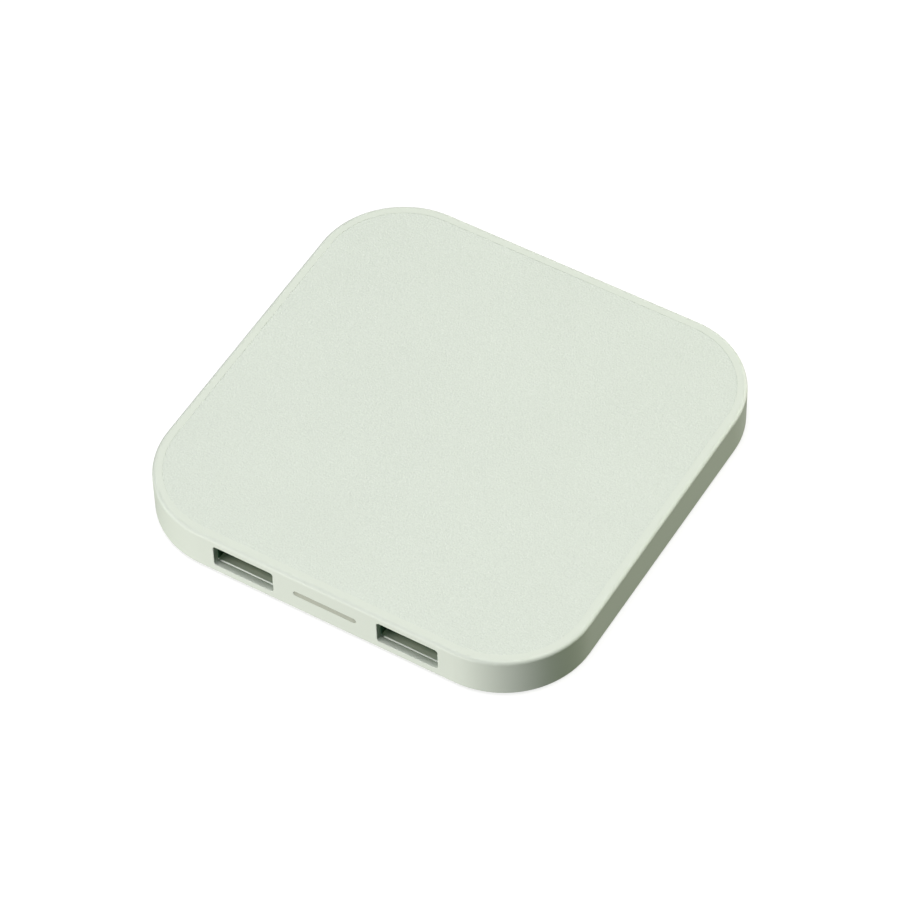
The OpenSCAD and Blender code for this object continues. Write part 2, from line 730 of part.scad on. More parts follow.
module usb_a_shell(x) {
    out_w = usb_w + 2 * usb_t;
    out_h = usb_h + 2 * usb_t;
    color(shell_green) {
        difference() {
            along_y(x, usb_z, usb_y0, usb_y0 + usb_l) round_rect(out_w, out_h, usb_out_r);
            along_y(x, usb_z, usb_y0 - cut, usb_y0 + usb_l + cut)
                round_rect(usb_w, usb_h, usb_in_r);
            translate([x, usb_y0, usb_z]) rotate([90, 0, 0])
                swept_loop(usb_w / 2 - usb_in_r, usb_h / 2 - usb_in_r)
                    polygon([[usb_in_r - eps, eps], [usb_in_r + usb_bevel, eps],
                        [usb_in_r + usb_bevel, 0], [usb_in_r, -usb_bevel], [usb_in_r - eps, -usb_bevel]]);
            for (dx = [-usb_window_x, usb_window_x])
                box(x + dx - usb_window_w / 2, x + dx + usb_window_w / 2,
                    usb_window_y[0], usb_window_y[1], usb_z - usb_h, usb_z + usb_h);
        }
        for (dx = [-usb_window_x, usb_window_x], side = [-1, 1]) usb_spring(x + dx, side);
        for (side = [-1, 1], y = usb_leg_y) {
            shell_leg(x + side * (out_w / 2 + usb_leg_out), y, side, leg_l, leg_drop);
        }
    }
}

module usb_a_tongue(x) {
    root_y = usb_block_y + usb_block_in;
    top_z = usb_z + usb_tongue_t;
    side = [[usb_tongue_y, usb_z + usb_tip_h], [usb_tongue_y + usb_tip_l, usb_z],
        [root_y, usb_z], [root_y, top_z],
        [usb_tongue_y + usb_tip_edge, top_z], [usb_tongue_y, top_z - usb_tip_edge]];
    color(dark_green) difference() {
        union() {
            along_x(x, usb_tongue_w) polygon(side);
            along_y(x, usb_z, usb_block_y, usb_y0 + usb_l - usb_clear)
                round_rect(usb_w - 2 * usb_block_gap, usb_h - 2 * usb_block_gap, usb_in_r);
        }
        for (p = usb_pins)
            box(x + p - usb_groove_w / 2, x + p + usb_groove_w / 2, usb_groove_y,
                usb_y0 + usb_l, usb_z + usb_groove_z[0], usb_z + usb_groove_z[1]);
    }
}

module usb_a_contacts(x) {
    foot_z = part_z0 + usb_pin_t / 2 + eps;
    end_y = usb_y0 + usb_l;
    path = concat([for (q = usb_contact_tip) [usb_tongue_y, usb_z] + q],
        [for (q = usb_contact_tail) [end_y, usb_z] + q],
        [[end_y + usb_contact_foot[0], foot_z + usb_contact_bend],
            [end_y + usb_contact_foot[1], foot_z], [end_y + usb_contact_foot[2], foot_z]]);
    color(gold) for (p = usb_pins) along_x(x + p, usb_pin_w) polygon(strip(path, usb_pin_t));
}

// ---------- USB-C inlet ----------

module usb_c_shell() {
    out_w = usbc_w + 2 * usbc_t;
    out_h = usbc_h + 2 * usbc_t;
    color(shell_green) {
        difference() {
            along_y(0, port_z, usbc_y0, usbc_y1) stadium(out_w, out_h);
            along_y(0, port_z, usbc_y0 - cut, usbc_y1 + cut) stadium(usbc_w, usbc_h);
        }
        for (side = [-1, 1], y = usbc_leg_y)
            shell_leg(side * usbc_leg_x, y, side, usbc_leg_l, usbc_leg_drop);
    }
}

module usb_c_tongue() {
    color(black) difference() {
        union() {
            box(-usbc_tongue_w / 2, usbc_tongue_w / 2, usbc_tongue_y[0], usbc_tongue_y[1],
                port_z - usbc_tongue_t / 2, port_z + usbc_tongue_t / 2);
            along_y(0, port_z, usbc_base_y[0], usbc_base_y[1])
                stadium(usbc_w - 2 * usbc_base_gap, usbc_h - 2 * usbc_base_gap);
        }
        for (side = [-1, 1])
            translate([0, usbc_groove_at[0], port_z + side * usbc_groove_at[1]])
                cube(usbc_groove, center = true);
    }
}

module usb_c_contacts() {
    foot_z = part_z0 + usbc_pin_t / 2;
    color(gold) for (i = [0:usbc_pins - 1]) {
        x = (i - (usbc_pins - 1) / 2) * usbc_pitch;
        for (side = [-1, 1]) {
            z = port_z + side * usbc_contact_z;
            drop_y = usbc_y0 + usbc_contact_drop[side > 0 ? 1 : 0];
            path = [[usbc_contact_y1, z], [drop_y + usbc_contact_bend, z],
                [drop_y, z - usbc_contact_bend], [drop_y, foot_z + usbc_contact_bend],
                [drop_y - usbc_contact_bend, foot_z], [drop_y - usbc_contact_foot, foot_z]];
            along_x(x, usbc_pin_w) polygon(strip(path, usbc_pin_t));
        }
    }
}

// ---------- nodes ----------

housing_frame();
top_plate();
plate_adhesive();
bottom_cover();
cover_screws();
foot(-1, -1);  // foot_front_left
foot(1, -1);  // foot_front_right
foot(-1, 1);  // foot_rear_left
foot(1, 1);  // foot_rear_right
light_bar();
status_led(-led_x);  // status_led_left
status_led(led_x);  // status_led_right
charging_coil();
coil_leads();
coil_adhesive();
ferrite_disc();
foam_spacers();
temperature_sensor();
circuit_board();
board_screws();
controller_chip();
usb_power_switch();
power_inductor();
bridge_transistors();
resonant_capacitors();
bulk_capacitors();
chip_capacitors();
chip_resistors();
usb_a_shell(-port_x);  // usb_a_left_shell
usb_a_tongue(-port_x);  // usb_a_left_tongue
usb_a_contacts(-port_x);  // usb_a_left_contacts
usb_a_shell(port_x);  // usb_a_right_shell
usb_a_tongue(port_x);  // usb_a_right_tongue
usb_a_contacts(port_x);  // usb_a_right_contacts
usb_c_shell();
usb_c_tongue();
usb_c_contacts();
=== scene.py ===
import json
import math

import bmesh
import bpy
from mathutils import Matrix, Vector, noise


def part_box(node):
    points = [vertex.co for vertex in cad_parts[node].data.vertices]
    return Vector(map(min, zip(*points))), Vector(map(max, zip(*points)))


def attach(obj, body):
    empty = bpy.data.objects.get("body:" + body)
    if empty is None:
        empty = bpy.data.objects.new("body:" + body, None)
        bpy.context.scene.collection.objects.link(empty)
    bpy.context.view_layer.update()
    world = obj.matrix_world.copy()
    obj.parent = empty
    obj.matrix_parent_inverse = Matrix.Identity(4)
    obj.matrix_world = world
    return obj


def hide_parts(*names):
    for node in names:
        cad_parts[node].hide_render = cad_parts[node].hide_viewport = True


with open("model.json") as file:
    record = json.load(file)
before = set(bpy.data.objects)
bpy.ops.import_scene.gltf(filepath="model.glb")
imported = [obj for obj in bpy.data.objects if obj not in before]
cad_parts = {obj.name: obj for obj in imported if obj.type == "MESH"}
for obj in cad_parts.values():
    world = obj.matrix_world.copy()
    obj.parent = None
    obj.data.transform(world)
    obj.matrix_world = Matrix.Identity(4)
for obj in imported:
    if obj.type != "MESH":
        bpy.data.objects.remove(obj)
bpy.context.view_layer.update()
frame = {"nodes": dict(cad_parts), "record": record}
MM = 0.001
SHELL_FRONT = -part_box("usb_a_left_shell")[0].y  # from the pad's middle to the shells' front edges


# ---------- camera, floor and light ----------

def view_axes(azimuth, elevation, roll=0.0):
    """Unit vectors to the right, up and back of a view. Azimuth 0 looks along +Y; angles in degrees."""
    a, e, r = (math.radians(x) for x in (azimuth, elevation, roll))
    back = Vector((math.sin(a) * math.cos(e), -math.cos(a) * math.cos(e), math.sin(e)))
    level = Vector((math.cos(a), math.sin(a), 0.0))
    upright = back.cross(level)
    right = math.cos(r) * level + math.sin(r) * upright
    up = -math.sin(r) * level + math.cos(r) * upright
    return right, up, back


def make_camera(middle, side):
    """A long lens from the front right and above, aimed a little off the pad's middle."""
    right, up, back = view_axes(azimuth=32.12, elevation=50.69, roll=-1.70)
    data = bpy.data.cameras.new("camera")
    data.sensor_width = 36.0
    data.lens = 182.5
    data.clip_start = 0.01
    data.clip_end = 20.0
    camera = bpy.data.objects.new("camera", data)
    bpy.context.scene.collection.objects.link(camera)
    away, left, down = 9.413, 0.0043, 0.0196  # as shares of the pad's side
    place = middle + side * (away * back - left * right - down * up)
    camera.matrix_world = Matrix.Translation(place) @ Matrix((right, up, back)).transposed().to_4x4()
    bpy.context.scene.camera = camera


def soft_light(name, azimuth, elevation, size, power, colour):
    """A square softbox a metre away that faces the pad from that direction."""
    right, up, back = view_axes(azimuth, elevation)
    data = bpy.data.lights.new(name, "AREA")
    data.shape = "SQUARE"
    data.size = size
    data.energy = power
    data.color = colour
    light = bpy.data.objects.new(name, data)
    light.matrix_world = Matrix.Translation(back) @ Matrix((right, up, back)).transposed().to_4x4()
    bpy.context.scene.collection.objects.link(light)


def make_floor(half_width):
    """A white floor, seen from above only. It lights nothing, and the low softboxes shine past it."""
    mesh = bpy.data.meshes.new("floor")
    corners = [(x * half_width, y * half_width, 0) for x, y in ((-1, -1), (1, -1), (1, 1), (-1, 1))]
    mesh.from_pydata(corners, [], [(0, 1, 2, 3)])
    floor = bpy.data.objects.new("floor", mesh)
    bpy.context.scene.collection.objects.link(floor)
    material = bpy.data.materials.new("floor_white")
    material.use_nodes = True
    nodes, links = material.node_tree.nodes, material.node_tree.links
    white = nodes["Principled BSDF"]
    white.inputs["Base Color"].default_value = (0.30, 0.30, 0.30, 1)
    white.inputs["Roughness"].default_value = 1.0
    white.inputs["Specular IOR Level"].default_value = 0.0
    white.inputs["Emission Color"].default_value = (1, 1, 1, 1)
    white.inputs["Emission Strength"].default_value = 0.78
    below = nodes.new("ShaderNodeBsdfTransparent")
    choice = nodes.new("ShaderNodeMixShader")
    links.new(nodes.new("ShaderNodeNewGeometry").outputs["Backfacing"], choice.inputs["Fac"])
    links.new(white.outputs["BSDF"], choice.inputs[1])
    links.new(below.outputs["BSDF"], choice.inputs[2])
    links.new(choice.outputs["Shader"], nodes["Material Output"].inputs["Surface"])
    mesh.materials.append(material)
    floor.visible_diffuse = False
    floor.visible_glossy = False
    floor.visible_shadow = False


def make_world(colour, strength):
    world = bpy.data.worlds.new("studio")
    world.use_nodes = True
    shader = world.node_tree.nodes["Background"]
    shader.inputs["Color"].default_value = (*colour, 1)
    shader.inputs["Strength"].default_value = strength
    bpy.context.scene.world = world


def make_stage():
    low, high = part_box("housing_frame")
    make_camera((low + high) / 2, high.x - low.x)
    make_floor(half_width=3.0)
    make_world(colour=(0.3, 1, 0.4), strength=0.028)
    soft_light("overhead", azimuth=-18, elevation=86, size=0.5, power=9.1, colour=(0.99, 0.95, 1))
    soft_light("front_low", azimuth=-19, elevation=-25, size=0.5, power=9.3, colour=(0.99, 0.96, 0.95))
    soft_light("left", azimuth=-45, elevation=25, size=0.8, power=3.0, colour=(1, 1, 0.92))
    soft_light("right", azimuth=130, elevation=25, size=0.5, power=3.7, colour=(0.92, 1, 0.64))
    soft_light("rear_right", azimuth=150, elevation=6, size=0.5, power=3.7, colour=(0.95, 0.80, 1))
    view = bpy.context.scene.view_settings
    view.view_transform = "Standard"
    view.look = "None"


# ---------- building materials ----------

class Look:
    """A node material in the making. Sizes are in metres, and patterns are fixed to the pad."""

    def __init__(self, name, **values):
        self.material = bpy.data.materials.new(name)
        self.material.use_nodes = True
        self.nodes = self.material.node_tree.nodes
        self.links = self.material.node_tree.links
        self.shader = self.nodes["Principled BSDF"]
        self.place = self.nodes.new("ShaderNodeTexCoord").outputs["Object"]
        self.set(**values)

    def put(self, socket, value):
        """Links a socket to another one, or sets it to a plain value."""
        if isinstance(value, bpy.types.NodeSocket):
            self.links.new(value, socket)
        elif socket.type == "RGBA":
            socket.default_value = (*value, 1)
        else:
            socket.default_value = value

    def set(self, **values):
        """Sets the shader's own inputs, written with _ for each space."""
        for name, value in values.items():
            self.put(self.shader.inputs[name.replace("_", " ")], value)
        return self.material

    def add(self, kind, output, **values):
        """Adds a node, sets its inputs in the same way, and gives its output."""
        node = self.nodes.new("ShaderNode" + kind)
        for name, value in values.items():
            self.put(node.inputs[name.replace("_", " ")], value)
        return node.outputs[output]

    def noise(self, size, detail=2.0, stretch=(1, 1, 1)):
        place = self.add("Mapping", "Vector", Vector=self.place, Scale=stretch)
        return self.add("TexNoise", "Fac", Vector=place, Scale=1 / size, Detail=detail)

    def cells(self, size):
        return self.add("TexVoronoi", "Distance", Vector=self.place, Scale=1 / size)

    def grid(self, size, line):
        """1 on the lines of a square grid, and 0 between them."""
        place = self.add("Mapping", "Vector", Vector=self.place, Scale=(1 / size,) * 3)
        values = {"Scale": 1.0, "Mortar Size": line / size / 2, "Mortar Smooth": 0.4,
                  "Brick Width": 1.0, "Row Height": 1.0}
        node = self.nodes.new("ShaderNodeTexBrick")
        node.offset = 0.0
        self.links.new(place, node.inputs["Vector"])
        for name, value in values.items():
            node.inputs[name].default_value = value
        return node.outputs["Fac"]

    def beyond(self, axis, near, far):
        """0 at near from the middle plane across an axis, and 1 at far, which may be the closer one."""
        node = self.nodes.new("ShaderNodeMath")
        node.operation = "ABSOLUTE"
        self.links.new(self.add("SeparateXYZ", axis, Vector=self.place), node.inputs[0])
        return self.add("MapRange", "Result", Value=node.outputs[0], From_Min=near, From_Max=far)

    def both(self, a, b):
        """1 where two masks are both 1."""
        node = self.nodes.new("ShaderNodeMath")
        node.operation = "MULTIPLY"
        self.links.new(a, node.inputs[0])
        self.links.new(b, node.inputs[1])
        return node.outputs[0]

    def sum(self, *parts):
        """Adds up (socket, weight) pairs."""
        total = 0.0
        for socket, weight in parts:
            node = self.nodes.new("ShaderNodeMath")
            node.operation = "MULTIPLY_ADD"
            self.links.new(socket, node.inputs[0])
            node.inputs[1].default_value = weight
            self.put(node.inputs[2], total)
            total = node.outputs[0]
        return total

    def tones(self, value, *stops):
        """A colour for each value, from (value, colour) stops."""
        node = self.nodes.new("ShaderNodeValToRGB")
        self.links.new(value, node.inputs["Fac"])
        ramp = node.color_ramp
        while len(ramp.elements) < len(stops):
            ramp.elements.new(1.0)
        for element, (place, colour) in zip(ramp.elements, stops):
            element.position = place
            element.color = (*colour, 1)
        return node.outputs["Color"]

    def mottle(self, value, colour, spread):
        """The colour, a little darker where the value is low and a little lighter where it is high."""
        dark = [c * (1 - spread) for c in colour]
        light = [c * (1 + spread) for c in colour]
        return self.tones(value, (0.3, dark), (0.7, light))

    def level(self, value, low, high):
        return self.add("MapRange", "Result", Value=value, To_Min=low, To_Max=high)

    def bump(self, height, depth):
        return self.add("Bump", "Normal", Height=height, Strength=1.0, Distance=depth)


def moulded(name, colour, roughness, grain_size, grain_depth, spread=0.01, cloud_size=0.016, **values):
    """Moulded plastic or rubber: faintly uneven in colour, with a grain of that size and depth."""
    look = Look(name, **values)
    grain = look.noise(grain_size, detail=2.5)
    cloud = look.noise(cloud_size, detail=3.0)
    tone = look.sum((cloud, 0.5), (grain, 0.5))
    return look.set(Base_Color=look.mottle(tone, colour, spread),
                    Roughness=look.level(grain, roughness - 0.05, roughness + 0.05),
                    Normal=look.bump(grain, grain_depth))


def metal(name, colour, roughness, brush=(1, 1, 1), scratch_size=0.0004, depth=0.000002, **values):
    """Plated or tinned metal with fine marks, drawn out along the axes where brush is small."""
    look = Look(name, Metallic=1.0, **values)
    marks = look.noise(scratch_size, detail=4.0, stretch=brush)
    stain = look.noise(0.004, detail=3.0)
    return look.set(Base_Color=look.mottle(look.sum((marks, 0.4), (stain, 0.6)), colour, 0.06),
                    Roughness=look.level(marks, roughness - 0.08, roughness + 0.10),
                    Normal=look.bump(marks, depth))


# ---------- the materials ----------

def plate_look():
    """Spark-eroded texture: fine pits with a coarser unevenness under them."""
    look = Look("plate_plastic", Specular_IOR_Level=0.3)
    fine = look.noise(0.00035, detail=1.0)
    coarse = look.noise(0.00085, detail=1.0)
    grain = look.sum((fine, 0.8), (coarse, 0.2))
    cloud = look.noise(0.016, detail=3.0)
    tone = look.sum((cloud, 0.15), (grain, 0.85))
    return look.set(Base_Color=look.mottle(tone, (0.642, 0.698, 0.631), 0.06),
                    Roughness=look.level(fine, 0.56, 0.68),
                    Normal=look.bump(grain, 0.00015))


def litz_look():
    """Enamelled copper strands: a clear coat over copper, with a hair-fine twist in the bump."""
    look = Look("litz_wire", Metallic=0.9, Coat_Weight=0.35, Coat_Roughness=0.2)
    strand = look.noise(0.00016, detail=2.0)
    stain = look.noise(0.003, detail=3.0)
    tone = look.sum((strand, 0.5), (stain, 0.5))
    return look.set(Base_Color=look.mottle(tone, (0.70, 0.30, 0.13), 0.14),
                    Roughness=look.level(strand, 0.26, 0.42),
                    Normal=look.bump(strand, 0.00003))


def ferrite_look():
    """Dull sintered sheet, scored into small squares."""
    look = Look("ferrite", Specular_IOR_Level=0.35)
    speck = look.noise(0.00025, detail=3.0)
    score = look.grid(0.004, 0.00012)
    height = look.sum((speck, 0.25), (score, -1.0))
    tone = look.sum((speck, 0.5), (look.noise(0.006, detail=2.0), 0.5))
    return look.set(Base_Color=look.mottle(tone, (0.038, 0.038, 0.042), 0.35),
                    Roughness=look.level(speck, 0.62, 0.80),
                    Normal=look.bump(height, 0.00004))


def foam_look():
    look = Look("foam", Specular_IOR_Level=0.15, Roughness=0.95, Sheen_Weight=0.15)
    pores = look.cells(0.00032)
    # Painted shade: the pits of the pores are painted darker than the walls between them.
    pit_shade, wall = (0.018, 0.018, 0.020), (0.052, 0.052, 0.056)
    return look.set(Base_Color=look.tones(pores, (0.0, pit_shade), (0.7, wall)),
                    Normal=look.bump(pores, 0.00012))


def solder_mask_look():
    """Glossy green lacquer in which the weave of the glass cloth just shows."""
    look = Look("solder_mask", Coat_Weight=0.25, Coat_Roughness=0.15)
    weave = look.grid(0.0005, 0.00022)
    flow = look.noise(0.0022, detail=3.0)
    tone = look.sum((flow, 0.7), (weave, 0.3))
    dark, light = (0.006, 0.075, 0.030), (0.014, 0.145, 0.058)
    return look.set(Base_Color=look.tones(tone, (0.2, dark), (0.8, light)),
                    Roughness=look.level(flow, 0.24, 0.36),
                    Normal=look.bump(look.sum((flow, 1.0), (weave, 0.3)), 0.000012))


def shell_look():
    """Sheet painted dark green as painted shade and a painted reflection of the green body deep in the
    outlets, with a painted pool of light, pale and matt, on the floor of the outlets' mouths and a painted
    highlight along its front edge.
    """
    look = Look("shell_steel")
    marks = look.noise(0.0003, detail=4.0, stretch=(0.12, 1, 1))
    stain = look.noise(0.003, detail=3.0)
    floor = look.beyond("Z", 2.95 * MM, 2.75 * MM)
    mouth = look.beyond("Y", SHELL_FRONT - 3.2 * MM, SHELL_FRONT - 0.9 * MM)
    # Painted highlight: a thin band along the shell's front edge is painted bright, standing in for light
    # caught by the edge.
    bevel = look.beyond("Y", SHELL_FRONT - 0.22 * MM, SHELL_FRONT - 0.16 * MM)
    # The floor in the mouths gets a painted pool of light, and its front band the painted highlight.
    painted_light_pool, edge = look.both(floor, mouth), look.both(floor, bevel)
    tone = look.sum((marks, 0.08), (stain, 0.12), (painted_light_pool, 0.4), (edge, 0.4))
    # The dark and green tones are painted shade and a painted reflection of the green body deep inside the
    # outlets; the pale tone is the painted pool of light, the brightest the painted highlight.
    dark, green = (0.10, 0.23, 0.15), (0.16, 0.32, 0.22)
    painted_light_tone, painted_highlight_tone = (0.92, 0.98, 0.87), (0.92, 0.94, 0.94)
    return look.set(Base_Color=look.tones(tone, (0.05, dark), (0.15, green), (0.50, painted_light_tone), (0.85, painted_highlight_tone)),
                    # Matt where the pool of light is painted, so it reads as lit; metallic elsewhere and at
                    # the painted highlight.
                    Metallic=look.level(look.sum((painted_light_pool, 1.0), (edge, -1.0)), 1.0, 0.0),
                    Roughness=look.level(marks, 0.36, 0.50),
                    Normal=look.bump(marks, 0.000003))


def diffuser_look():
    """Frosted plastic: greyer than the body, with painted shade towards the bar's ends, softly grained."""
    look = Look("light_diffuser", Specular_IOR_Level=0.3)
    grain = look.noise(0.00025, detail=2.0)
    cloud = look.noise(0.002, detail=2.0)
    # Painted shade: the bar is painted darker towards both of its ends.
    ends = look.beyond("X", 0.0054, 0.0066)
    tone = look.sum((grain, 0.25), (cloud, 0.25), (ends, -0.25))
    dark, middle, light = (0.335, 0.360, 0.288), (0.402, 0.428, 0.352), (0.420, 0.446, 0.368)
    return look.set(Base_Color=look.tones(tone, (0.0, dark), (0.18, middle), (0.35, light)),
                    Roughness=look.level(grain, 0.45, 0.58),
                    Normal=look.bump(grain, 0.00002))


def make_looks():
    """One material for each of the record's slots, and three that only small details have."""
    return {
        "body_plastic": moulded("body_plastic", (0.66, 0.715, 0.638), 0.5, 0.0006, 0.000005, spread=0.006,
                                Specular_IOR_Level=0.3),
        "plate_plastic": plate_look(),
        "adhesive": moulded("adhesive", (0.72, 0.70, 0.60), 0.5, 0.0007, 0.00002,
                            spread=0.08, cloud_size=0.004),
        "screw_steel": metal("screw_steel", (0.60, 0.62, 0.64), 0.30),
        "foot_silicone": moulded("foot_silicone", (0.56, 0.61, 0.545), 0.66, 0.0004, 0.00001,
                                 spread=0.03),
        "light_diffuser": diffuser_look(),
        "led_package": moulded("led_package", (0.80, 0.80, 0.76), 0.35, 0.0003, 0.000004, spread=0.02),
        "litz_wire": litz_look(),
        "ferrite": ferrite_look(),
        "foam": foam_look(),
        "black_epoxy": moulded("black_epoxy", (0.016, 0.016, 0.017), 0.34, 0.0003, 0.00001,
                               spread=0.2),
        "solder_mask": solder_mask_look(),
        "chip_package": moulded("chip_package", (0.022, 0.022, 0.024), 0.52, 0.00012, 0.000008,
                                spread=0.2),
        "ceramic": moulded("ceramic", (0.33, 0.19, 0.09), 0.45, 0.0002, 0.000004,
                           spread=0.12, cloud_size=0.002),
        "resistor_black": moulded("resistor_black", (0.020, 0.020, 0.024), 0.22, 0.0003, 0.000003,
                                  spread=0.2),
        "shell_steel": shell_look(),
        "tongue_plastic": moulded("tongue_plastic", (0.012, 0.052, 0.029), 0.42, 0.0003, 0.000006,
                                  spread=0.15),
        "contact_gold": metal("contact_gold", (0.83, 0.58, 0.22), 0.22, brush=(1, 0.15, 1)),
        "tin": metal("tin", (0.66, 0.66, 0.64), 0.34, scratch_size=0.0006, depth=0.000006),
        "alumina": moulded("alumina", (0.78, 0.77, 0.73), 0.5, 0.0002, 0.000004, spread=0.03),
        "phosphor": moulded("phosphor", (0.85, 0.62, 0.09), 0.28, 0.0002, 0.000003, spread=0.06),
    }


# ---------- building shapes ----------

def solids(node):
    """The lowest and highest corner of each separate solid of a CAD node."""
    bm = bmesh.new()
    bm.from_mesh(frame["nodes"][node].data)
    bmesh.ops.remove_doubles(bm, verts=bm.verts, dist=0.001 * MM)
    boxes, left = [], set(bm.verts)
    while left:
        reached, points = [left.pop()], []
        while reached:
            vert = reached.pop()
            points.append(vert.co.copy())
            near = {e.other_vert(vert) for e in vert.link_edges} & left
            left -= near
            reached += near
        boxes.append((Vector(map(min, *points)), Vector(map(max, *points))))
    bm.free()
    return sorted(boxes, key=lambda box: tuple(box[0]))


def make_piece(name, bm, looks, stands_for=(), sharp=35):
    """Turns a bmesh into a piece of the pad. Its faces' material numbers count through looks."""
    bmesh.ops.recalc_face_normals(bm, faces=bm.faces)
    mesh = bpy.data.meshes.new(name)
    bm.to_mesh(mesh)
    bm.free()
    for look in looks:
        mesh.materials.append(LOOKS[look])
    mesh.shade_smooth()
    mesh.set_sharp_from_angle(angle=math.radians(sharp))
    piece = bpy.data.objects.new(name, mesh)
    bpy.context.scene.collection.objects.link(piece)
    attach(piece, "root")
    if stands_for:
        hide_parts(*stands_for)
    return piece


def block(bm, low, high, edge, look=0):
    """A box with rounded edges."""
    before = set(bm.faces)
    low, high = Vector(low), Vector(high)
    place = Matrix.Translation((low + high) / 2) @ Matrix.Diagonal((*(high - low), 1))
    corners = bmesh.ops.create_cube(bm, size=1, matrix=place)["verts"]
    edges = {e for v in corners for e in v.link_edges}
    bmesh.ops.bevel(bm, geom=list(edges), offset=edge, segments=2, profile=0.5, affect="EDGES")
    for face in set(bm.faces) - before:
        face.material_index = look


def skin(bm, rings, look=0):
    """Joins closed rings of points in turn and closes both ends. A ring of one point is a tip."""
    made = [[bm.verts.new(p) for p in ring] for ring in rings]
    faces = []
    for a, b in zip(made, made[1:]):
        n = max(len(a), len(b))
        for i in range(n):
            j = (i + 1) % n
            corners = [a[i % len(a)], a[j % len(a)], b[j % len(b)], b[i % len(b)]]
            faces.append(bm.faces.new(list(dict.fromkeys(corners))))
    for end in (made[0], made[-1]):
        if len(end) > 2:
            faces.append(bm.faces.new(end))
    for face in faces:
        face.material_index = look


def angles(count):
    return [2 * math.pi * i / count for i in range(count)]


def ring(radius, count):
    """A round section, as points on a circle. A circle without a radius is one point."""
    return [(radius * math.cos(a), radius * math.sin(a)) for a in angles(count if radius else 1)]


def lathe(bm, centre, profile, steps=48, look=0):
    """Turns a profile of (radius, height) points about a vertical axis through centre."""
    rings = [[Vector(centre) + Vector((x, y, height)) for x, y in ring(radius, steps)]
             for radius, height in profile]
    skin(bm, rings, look)


def sweep(bm, line, section, lay=0.0, swell=None, look=0):
    """Runs a section of (across, up) points along a line, turning once in every lay metres.
    swell gives the section's scale for a place from 0 to 1 along the line."""
    rings, side, turned = [], None, 0.0
    for i, point in enumerate(line):
        ahead = (line[min(i + 1, len(line) - 1)] - line[max(i - 1, 0)]).normalized()
        side = Vector((0, 0, 1)).cross(ahead) if side is None else side - ahead * side.dot(ahead)
        side.normalize()
        up = ahead.cross(side)
        if lay and i:
            turned += 2 * math.pi * (point - line[i - 1]).length / lay
        c, s = math.cos(turned), math.sin(turned)
        scale = swell(i / (len(line) - 1)) if swell else 1.0
        rings.append([point + scale * (side * (u * c - v * s) + up * (u * s + v * c)) for u, v in section])
    skin(bm, rings, look)


def strands(radius, count, points_each=4, groove=0.16):
    """The section of a twisted wire: a ring of round bundles with grooves between them."""
    section = []
    for a in angles(count * points_each):
        r = radius * (1 - groove * (1 - abs(math.sin(count * a / 2))) ** 1.5)
        section.append((r * math.cos(a), r * math.sin(a)))
    return section


def through(points, steps=6):
    """A smooth line through points given in millimetres, with that many steps between each two."""
    p = [Vector(q) * MM for q in points]
    p = [2 * p[0] - p[1], *p, 2 * p[-1] - p[-2]]
    line = []
    for a, b, c, d in zip(p, p[1:], p[2:], p[3:]):
        for i in range(steps):
            t = i / steps
            line.append(0.5 * (2 * b + (c - a) * t + (2 * a - 5 * b + 4 * c - d) * t ** 2
                               + (3 * b - a - 3 * c + d) * t ** 3))
    return [*line, p[-2]]


def strip(bm, path, thickness, x0, x1, look=0):
    """A bent strip between x0 and x1 whose middle follows a path of (y, z) points."""
    upper, lower = [], []
    for i, (y, z) in enumerate(path):
        y0, z0 = path[max(i - 1, 0)]
        y1, z1 = path[min(i + 1, len(path) - 1)]
        across = Vector((z0 - z1, y1 - y0)).normalized() * thickness / 2
        upper.append((y + across.x, z + across.y))
        lower.append((y - across.x, z - across.y))
    outline = upper + lower[::-1]
    skin(bm, [[Vector((x, y, z)) for y, z in outline] for x in (x0, x1)], look)


# ---------- pieces: feet, foam and fasteners ----------

def make_foot(node):
    """A silicone foot with a shallow dish inside its contact ring."""
    low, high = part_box(node)
    radius, height = (high.x - low.x) / 2, high.z - low.z
    dish, fillet = 0.12 * MM, 0.3 * MM
    profile = [(0, dish), (0.50 * radius, dish), (0.56 * radius, 0.8 * dish), (0.62 * radius, 0.15 * dish),
               (0.66 * radius, 0)]
    profile += [(radius - fillet + fillet * math.sin(a), fillet - fillet * math.cos(a))
                for a in (math.radians(15 * i) for i in range(7))]
    profile += [(radius, height - 0.05 * MM), (radius - 0.05 * MM, height), (0, height)]
    bm = bmesh.new()
    lathe(bm, ((low.x + high.x) / 2, (low.y + high.y) / 2, low.z), profile, steps=72)
    make_piece(f"{node}_pad", bm, ["foot_silicone"], [node])


def make_foam():
    """Foam pads, squeezed a little between the board and the ferrite, so that their sides bulge."""
    inset, cuts = 0.25 * MM, 11
    pads = solids("foam_spacers")
    bm = bmesh.new()
    for low, high in pads:
        place = Matrix.Translation((low + high) / 2) @ Matrix.Diagonal((*(high - low), 1))
        bmesh.ops.create_cube(bm, size=1, matrix=place)
    bmesh.ops.subdivide_edges(bm, edges=bm.edges[:], cuts=cuts, use_grid_fill=True)
    for vert in bm.verts:
        low, high = min(pads, key=lambda pad: (vert.co - (pad[0] + pad[1]) / 2).length)
        half = (high - low) / 2
        u, v, w = ((vert.co - (low + high) / 2)[i] / half[i] for i in range(3))
        pulled_in = inset * (0.35 + 0.65 * w * w) + 0.04 * MM * noise.noise(vert.co / (0.8 * MM))
        for i, side, other in ((0, u, v), (1, v, u)):
            vert.co[i] -= math.copysign(pulled_in * abs(side) ** 6 * (1 + 0.8 * other ** 8), side)
        vert.co.z -= math.copysign(0.03 * MM * (max(abs(u), abs(v)) ** 12), w)
    piece = make_piece("foam_pads", bm, ["foam"], ["foam_spacers"], sharp=60)


